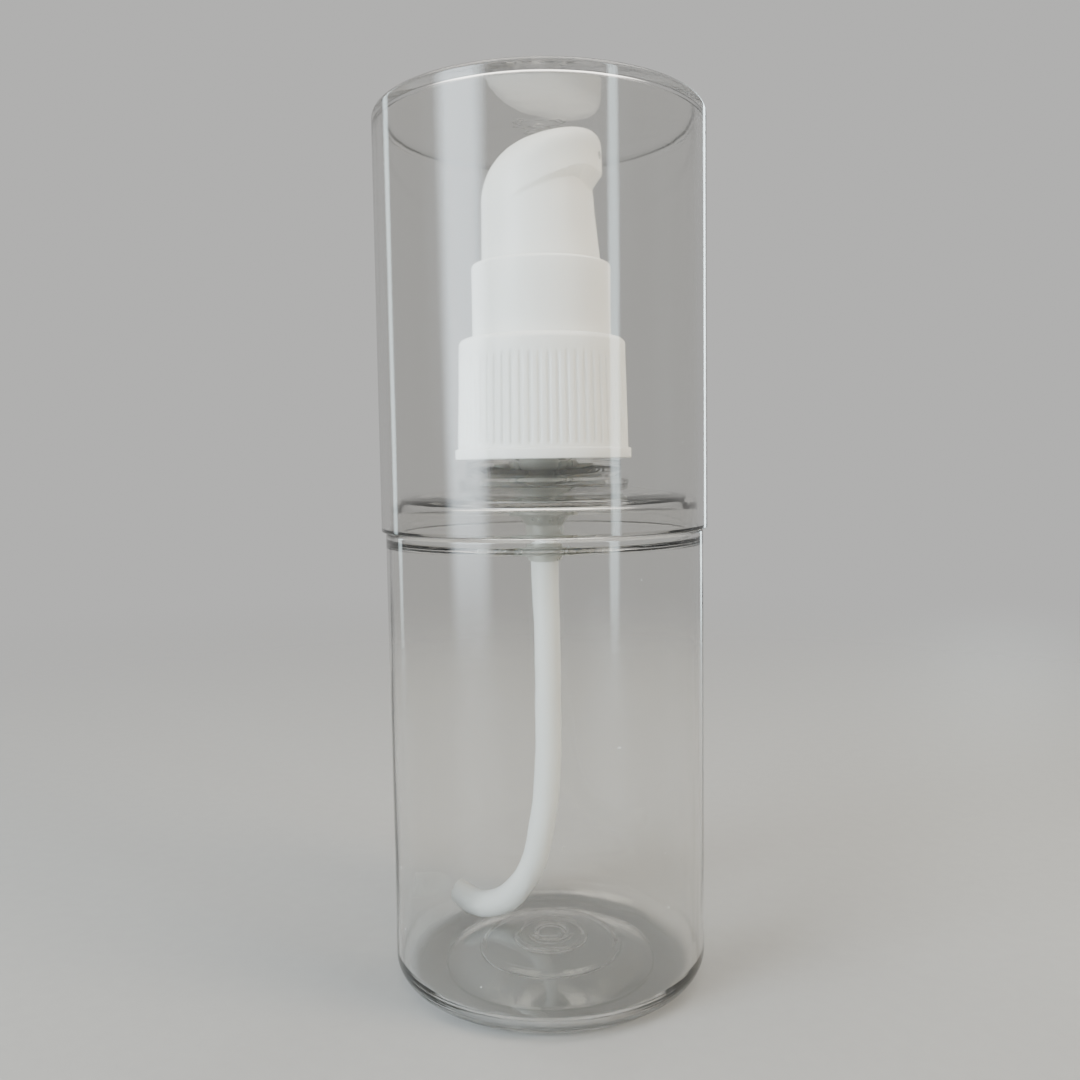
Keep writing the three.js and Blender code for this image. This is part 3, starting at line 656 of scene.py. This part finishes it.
def make_actuator():
    side_rows, roof_rows = 110, 40
    climb = (np.arange(1, side_rows + 1) / side_rows) ** 0.75
    wall = HEART_Z + (CROWN_Z - 1 - HEART_Z) * climb
    skirt = corner([
        (0, 106.0, 0), (2.08, 106.0, 0.1), (2.08, 100.2, 0.15), (3.4, 100.2, 0.2),
        (3.4, 110.5, 0.4), (7.1, 110.5, 0.5), (7.5, HEAD_LOW.z, 0.2), (HEAD_R, HEAD_LOW.z, 0.25),
        (HEAD_R, HEART_Z, 0),
    ])
    side = np.stack([np.full(side_rows, HEAD_R), wall], -1)
    inward = 1 - np.arange(1, roof_rows + 1) / roof_rows
    roof = np.stack([HEAD_R * inward, np.full(roof_rows, CROWN_Z)], -1)
    outline = np.concatenate([skirt, side, roof])

    def shape(theta, r, z):
        outer = np.zeros(r.shape, bool)
        outer[len(skirt) - 1:] = True
        length = np.hypot(r, z - HEART_Z)
        out = r / np.maximum(length, 1e-9)
        up = (z - HEART_Z) / np.maximum(length, 1e-9)
        inside, outside = np.zeros(r.shape), np.full(r.shape, REACH)
        for _ in range(44):
            middle = (inside + outside) / 2
            radius = out * middle
            x, y = radius * np.cos(theta), radius * np.sin(theta)
            field = head_field(x, y, HEART_Z + up * middle)
            inside = np.where(field < 0, middle, inside)
            outside = np.where(field < 0, outside, middle)
        moved = outer & (z > HEART_Z + 1e-6)
        return np.where(moved, out * inside, r), np.where(moved, HEART_Z + up * inside, z)

    outline[-1] = (0, pole_height())
    head = revolve("duckbill_head", outline, shape=shape, columns=240)
    cut(head, sweep("bore", [(x, 0, SPOUT_Z) for x in np.linspace(0, 12, 5)], SPOUT_R))
    rise = np.linspace(105.5, SPOUT_Z + 0.3, 5)
    cut(head, sweep("riser", [(0, 0, z) for z in rise], SPOUT_R - 0.01))
    return place(head, "actuator", "actuator", "white_pp", WHITE)


def pole_height():
    """Height of the head's surface on the axis."""
    low, high = HEART_Z, HEART_Z + REACH
    for _ in range(50):
        middle = (low + high) / 2
        if head_field(np.array(0.0), np.array(0.0), middle) < 0:
            low = middle
        else:
            high = middle
    return low


# ---------------------------------------------------------------- pump engine

def make_housing():
    top, flange = HOUSING_HIGH.z, HOUSING_HIGH.z - 0.9
    outline = corner([
        (2.12, HOUSING_LOW.z, 0.05), (2.5, HOUSING_LOW.z, 0.1), (2.7, 64.6, 0.1),
        (2.7, 65.6, 0.3), (5.0, 68.6, 0.4), (5.0, 79.5, 0.4), (6.6, 81.5, 0.4),
        (6.6, flange, 0.15), (8.6, flange, 0.1), (8.6, top, 0.15), (5.6, top, 0.15),
        (5.6, 82.5, 0.2), (4.0, 81.0, 0.3), (4.0, 69.2, 0.2), (3.2, 68.6, 0.1), (1.8, 68.6, 0.1),
        (1.8, 66.4, 0.1), (0.9, 65.4, 0.1), (0.9, 64.6, 0.05), (2.12, 64.6, 0.05),
    ], closed=True)
    housing = revolve("pump_cylinder", outline, closed=True, columns=96)
    return place(housing, "pump_engine", "pump_housing", "natural_pp", NATURAL)


def make_lock_ring():
    low = HOUSING_HIGH.z + 0.05
    outline = corner([
        (4.4, LOCK_LOW.z, 0.1), (5.3, LOCK_LOW.z, 0.1), (5.5, LOCK_LOW.z + 0.6, 0.1),
        (5.5, low, 0.05), (6.0, low, 0.1), (6.0, low + 0.9, 0.15), (4.0, low + 0.9, 0.2),
        (4.0, LOCK_HIGH.z, 0.25), (2.3, LOCK_HIGH.z, 0.15), (2.3, low + 1.2, 0.2),
        (4.4, low - 0.9, 0.2),
    ], closed=True)
    lock = revolve("lock_ring_fine", outline, closed=True, columns=96)
    return place(lock, "pump_engine", "lock_ring", "white_pp", WHITE)


def make_gasket():
    outline = corner([
        (6.8, GASKET_LOW.z, 0.12), (8.6, GASKET_LOW.z, 0.12), (8.6, GASKET_HIGH.z, 0.12),
        (6.8, GASKET_HIGH.z, 0.12),
    ], closed=True)
    gasket = revolve("neck_gasket_fine", outline, closed=True, columns=96)
    material = foam("gasket_foam_cells", (0.93, 0.92, 0.90))
    return place(gasket, "pump_engine", "neck_gasket", "gasket_foam", material)


def make_stem():
    outline = corner([
        (1.2, STEM_LOW.z, 0.08), (2.0, STEM_LOW.z, 0.12), (2.0, STEM_HIGH.z, 0.2),
        (1.2, STEM_HIGH.z, 0.1),
    ], closed=True)
    stem = revolve("stem_fine", outline, closed=True, columns=64)
    return place(stem, "plunger", "stem", "white_pp", WHITE)


def make_piston_seat():
    low = SEAT_LOW.z
    outline = corner([
        (0, low, 0), (1.8, low, 0.2), (2.1, low + 0.3, 0.1), (2.1, low + 1.5, 0.1),
        (2.9, low + 1.5, 0.1), (2.9, low + 2.1, 0.15), (1.6, low + 2.4, 0.1), (1.6, 80.45, 0.1),
        (1.12, 80.45, 0.1), (1.12, SEAT_HIGH.z, 0.1), (0.65, SEAT_HIGH.z, 0.05),
        (0.65, low + 3.1, 0.05), (0, low + 3.1, 0),
    ])
    seat = revolve("piston_seat_fine", outline, columns=64)
    return place(seat, "plunger", "piston_seat", "white_pp", WHITE)


def make_piston():
    low = PISTON_LOW.z
    web = low + 1.3
    outline = corner([
        (1.72, low + 0.75, 0.05), (2.2, low + 0.85, 0.1), (2.5, web, 0.15), (3.22, web, 0.2),
        (3.52, low, 0.08), (3.92, low, 0.08), (3.82, web + 0.5, 0.4), (3.92, low + 4.0, 0.08),
        (3.52, low + 4.0, 0.08), (3.22, web + 0.9, 0.2), (2.3, web + 0.9, 0.15),
        (2.1, low + 2.55, 0.1), (1.72, low + 2.55, 0.05),
    ], closed=True)
    piston = revolve("piston_fine", outline, closed=True, columns=64)
    return place(piston, "piston", "piston", "natural_pp", NATURAL)


def make_spring():
    """Compression spring with a closed coil at each end, made at its CAD length; the mesh does not
    shorten with the stroke.
    """
    wire = 0.25
    low, high = SPRING_LOW.z + wire, SPRING_HIGH.z - wire
    turns = 7.0
    along = np.linspace(0, 1, int(turns * 40) + 1)
    closed_end = 0.9 / turns
    rise = np.interp(along, [0, closed_end, 1 - closed_end, 1], [0, 0.06, 0.94, 1])
    angle = along * turns * TURN
    path = np.stack([2.6 * np.cos(angle), 2.6 * np.sin(angle), low + (high - low) * rise], -1)
    spring = sweep("return_spring_fine", path, wire, sides=12)
    place(spring, "pump_engine", "return_spring", "steel", STEEL)
    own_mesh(spring)
    return spring


def make_ball():
    radius = (BALL_HIGH.z - BALL_LOW.z) / 2
    centre = (BALL_HIGH.z + BALL_LOW.z) / 2
    angle = np.linspace(-math.pi / 2, math.pi / 2, 33)
    outline = np.stack([radius * np.cos(angle), centre + radius * np.sin(angle)], -1)
    outline[0, 0] = outline[-1, 0] = 0.0
    ball = revolve("inlet_ball_fine", outline, columns=48)
    return place(ball, "inlet_ball", "inlet_ball", "steel", STEEL)


def make_dip_tube():
    """Straight down from the housing's tail, then curled up at its foot."""
    side = math.radians(TUBE_SIDE)
    route = [
        (0, 64.5), (0, 60.4), (-0.25, 50), (-0.25, 40), (0, 30), (1.1, 21.7),
        (3.65, 13.6), (8.5, 7.5), (12, 5.4), (15.8, 4.7), (20, 5.3),
    ]
    line = catmull([(out * math.cos(side), out * math.sin(side), z) for out, z in route])
    tube = sweep("dip_tube_fine", line, TUBE_R, inner=TUBE_BORE_R, sides=40)
    return place(tube, "pump_engine", "dip_tube", "milky_tube", TUBE)


# ---------------------------------------------------------------------- scene

def make_floor():
    """Pale matt sheet that fades out around the bottle."""
    mesh = bpy.data.meshes.new("floor")
    corners = [(-2, -2, 0), (2, -2, 0), (2, 2, 0), (-2, 2, 0)]
    mesh.from_pydata(corners, [], [(0, 1, 2, 3)])
    floor = bpy.data.objects.new("floor", mesh)
    floor.location.z = -0.05 * MM
    bpy.context.scene.collection.objects.link(floor)
    n = Nodes("pale_floor")
    grain = n.noise(n.stretched(0.4, 0.4, 0.4), 1.0, 3.0)
    tone = n.mix(grain, rgba((0.31, 0.308, 0.303)), rgba((0.335, 0.333, 0.327)))
    values = {"Base Color": tone, "Roughness": 0.6, "Specular IOR Level": 0.2}
    shader = n.add("ShaderNodeBsdfPrincipled", values)
    away = n.add("ShaderNodeVectorMath", {0: n.place}, operation="LENGTH").outputs["Value"]
    values = {0: away, 1: FLOOR_FADE[0], 2: FLOOR_FADE[1]}
    fade = n.add("ShaderNodeMapRange", values, interpolation_type="SMOOTHERSTEP")
    gone = n.add("ShaderNodeBsdfTransparent")
    values = {0: fade.outputs[0], 1: shader.outputs[0], 2: gone.outputs[0]}
    soft = n.add("ShaderNodeMixShader", values)
    mesh.materials.append(n.finish(soft.outputs[0]))


def make_world():
    """Pale backdrop for what is seen directly or through a clear wall, and dimmer soft light
    from all sides for everything else, so that the lamps give the pieces their shape."""
    world = bpy.data.worlds.new("soft_studio")
    bpy.context.scene.world = world
    world.use_nodes = True
    tree = world.node_tree
    tree.nodes.clear()
    path = tree.nodes.new("ShaderNodeLightPath")
    level = BACKDROP
    for ray, dimmed in (("Is Diffuse Ray", SURROUND), ("Is Glossy Ray", MIRRORED)):
        drop = tree.nodes.new("ShaderNodeMath")
        drop.operation = "MULTIPLY_ADD"
        tree.links.new(path.outputs[ray], drop.inputs[0])
        drop.inputs[1].default_value = dimmed - BACKDROP
        if isinstance(level, float):
            drop.inputs[2].default_value = level
        else:
            tree.links.new(level, drop.inputs[2])
        level = drop.outputs[0]
    background = tree.nodes.new("ShaderNodeBackground")
    background.inputs["Color"].default_value = (1.0, 0.994, 0.975, 1)
    tree.links.new(level, background.inputs["Strength"])
    output = tree.nodes.new("ShaderNodeOutputWorld")
    tree.links.new(background.outputs[0], output.inputs["Surface"])


def make_lamp(
    name, turn, elevation, distance, size, power, colour, soft=0.35, gloss=True, through=False,
):
    """Soft box that faces the object and fades out to its edges. turn is its angle from the
    camera's side; gloss and through say whether it is mirrored and seen through clear walls."""
    data = bpy.data.lights.new(name, "AREA")
    data.shape = "RECTANGLE"
    data.size, data.size_y = size
    data.energy = power
    data.color = colour
    data.use_nodes = True
    tree = data.node_tree
    spot = tree.nodes.new("ShaderNodeSeparateXYZ")
    tree.links.new(tree.nodes.new("ShaderNodeNewGeometry").outputs["Parametric"], spot.inputs[0])
    level = None
    for side in range(2):
        inward = tree.nodes.new("ShaderNodeMath")
        inward.operation = "PINGPONG"
        inward.inputs[1].default_value = 0.5
        tree.links.new(spot.outputs[side], inward.inputs[0])
        fade = tree.nodes.new("ShaderNodeMapRange")
        fade.interpolation_type = "SMOOTHSTEP"
        fade.inputs[2].default_value = soft
        tree.links.new(inward.outputs[0], fade.inputs[0])
        if level is not None:
            tree.links.new(level, fade.inputs[4])
        level = fade.outputs[0]
    tree.links.new(level, tree.nodes["Emission"].inputs["Strength"])
    lamp = bpy.data.objects.new(name, data)
    bpy.context.scene.collection.objects.link(lamp)
    a, e = math.radians(VIEW + turn), math.radians(elevation)
    back = Vector((math.sin(a) * math.cos(e), -math.cos(a) * math.cos(e), math.sin(e)))
    lamp.location = Vector((0, 0, AIM_Z)) + back * distance
    lamp.rotation_mode = "QUATERNION"
    lamp.rotation_quaternion = back.to_track_quat("Z", "Y")
    lamp.visible_camera = False
    lamp.visible_glossy = gloss
    lamp.visible_transmission = through


def make_camera():
    """A phone held close, level with the shoulder and tipped slightly down and to one side."""
    distance, height = 148.49, 74.42
    tip, roll, yaw = 0.07495, -0.01469, -0.004587
    right = Vector((math.cos(yaw), -math.sin(yaw), 0))
    ahead = Vector((math.sin(yaw), math.cos(yaw), 0))
    up = Vector((0, 0, 1))
    forward = ahead * math.cos(tip) - up * math.sin(tip)
    upward = ahead * math.sin(tip) + up * math.cos(tip)
    x = right * math.cos(roll) + upward * math.sin(roll)
    y = upward * math.cos(roll) - right * math.sin(roll)
    turn = Matrix.Rotation(math.radians(VIEW), 3, "Z")
    axes = Matrix((turn @ x, turn @ y, turn @ -forward)).transposed()
    data = bpy.data.cameras.new("camera")
    data.sensor_width = 36.0
    data.lens = 33.94
    data.clip_start = 0.01
    camera = bpy.data.objects.new("camera", data)
    bpy.context.scene.collection.objects.link(camera)
    place_at = turn @ Vector((0, -distance, height)) * MM
    camera.matrix_world = Matrix.Translation(place_at) @ axes.to_4x4()
    bpy.context.scene.camera = camera


make_camera()
make_world()
make_floor()
make_lamp("top", 0, 89, 0.75, (1.4, 0.65), 13.0, (1.0, 0.96, 0.88), soft=0.2, through=True)
make_lamp("key", -52, 16, 0.65, (0.46, 0.78), 21.0, (0.82, 0.93, 1.0))
make_lamp("fill", 66, 20, 0.7, (0.4, 0.5), 13.0, (1.0, 0.82, 0.60), gloss=False)
for name, turn, power in (("front", 48, 3.4), ("back", 150, 2.0), ("left", 238, 1.5)):
    make_lamp(f"{name}_strip", turn, 13, 0.65, (0.11, 0.78), power, (0.80, 0.96, 1.0))

WHITE = white_moulding("white_moulded_plastic", (0.86, 0.86, 0.835), 0.42)
NATURAL = milky("natural_plastic", (0.66, 0.66, 0.62), 0.28, 0.75)
TUBE = milky("milky_tube_plastic", (0.84, 0.85, 0.835), 0.35, 0.4)
STEEL = spring_steel("bright_steel", (0.72, 0.73, 0.75), 0.28)

for make in (
    make_bottle, make_overcap, make_closure, make_actuator, make_housing, make_lock_ring,
    make_gasket, make_stem, make_piston_seat, make_piston, make_spring, make_ball, make_dip_tube,
):
    make()

cycles = bpy.context.scene.cycles
cycles.max_bounces = 32
cycles.transmission_bounces = 32
cycles.glossy_bounces = 16
cycles.transparent_max_bounces = 32
